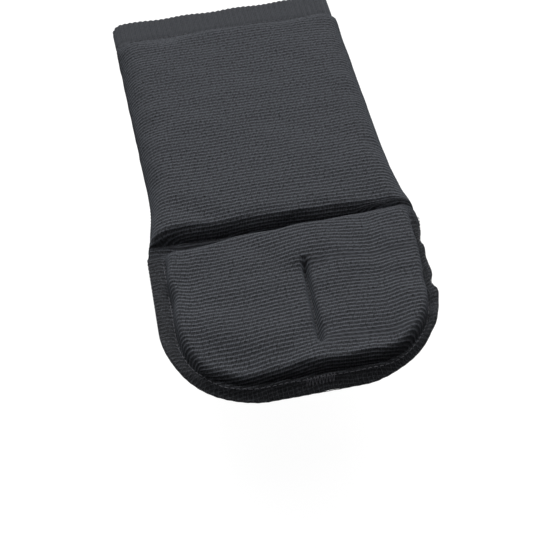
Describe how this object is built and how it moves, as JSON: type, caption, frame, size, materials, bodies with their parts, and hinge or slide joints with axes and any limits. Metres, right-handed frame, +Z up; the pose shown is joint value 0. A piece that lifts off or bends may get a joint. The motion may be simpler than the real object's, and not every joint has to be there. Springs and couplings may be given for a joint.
{
  "type": "elbow pad",
  "caption": "Slip-on padded elbow sleeve: rounded quilted elbow cap hinged by a sewn channel to a foam-fronted knit forearm tube, with elastic strap and cuff.",
  "frame": {"origin": "middle of the underside of the box round the whole pad, which lies on its back", "axes": "+Z up out of the padded front, -Y along the arm to the tip of the elbow cap, +Y to the cuff, +X across the arm"},
  "size_m": [0.1292, 0.2426, 0.0207],
  "materials": {
    "outer_knit": "charcoal fine-ribbed cotton and elastane knit, ribs across the arm, matt with a soft sheen",
    "lining_knit": "plain black jersey, matt",
    "stretch_knit": "black ribbed stretch knit, matt",
    "rib_cuff": "black rib-knit band, ribs along the arm",
    "elastic": "black woven elastic tape",
    "foam": "dark grey closed-cell foam",
    "thread": "black spun polyester thread"
  },
  "bodies": {
    "forearm_pad": {"forearm_cover": "outer_knit", "forearm_foam": "foam", "forearm_lining": "lining_knit", "side_seam_left": "lining_knit", "side_seam_right": "lining_knit", "channel_seam": "outer_knit", "channel_stitching": "thread", "cuff_front": "rib_cuff", "cuff_elastic_front": "elastic", "cuff_stitching_front": "thread"},
    "sleeve_back": {"sleeve_back": "stretch_knit", "hem_stitching": "thread", "cuff_back": "rib_cuff", "cuff_elastic_back": "elastic", "cuff_stitching_back": "thread"},
    "elbow_cap": {"cap_cover": "outer_knit", "cap_foam": "foam", "cap_lining": "lining_knit", "rim_overlock": "thread", "rim_stitching": "thread", "centre_quilting": "thread", "tip_bartack": "thread", "strap_tab_left": "elastic", "strap_tab_right": "elastic", "strap_stitching": "thread"},
    "strap": {"cap_strap": "elastic"}
  },
  "joints": [
    {"name": "elbow_flex", "type": "hinge", "parent": "forearm_pad", "child": "elbow_cap", "pos_m": [0, -0.0307, 0.0095], "axis": [1, 0, 0], "range_deg": [-30, 90], "stiffness_Nm_per_rad": 0.05},
    {"name": "sleeve_open", "type": "slide", "parent": "forearm_pad", "child": "sleeve_back", "axis": [0, 0, -1], "range_m": [0, 0.06], "stiffness_N_per_m": 30},
    {"name": "strap_open", "type": "slide", "parent": "elbow_cap", "child": "strap", "axis": [0, 0, -1], "range_m": [0, 0.05], "stiffness_N_per_m": 30}
  ]
}
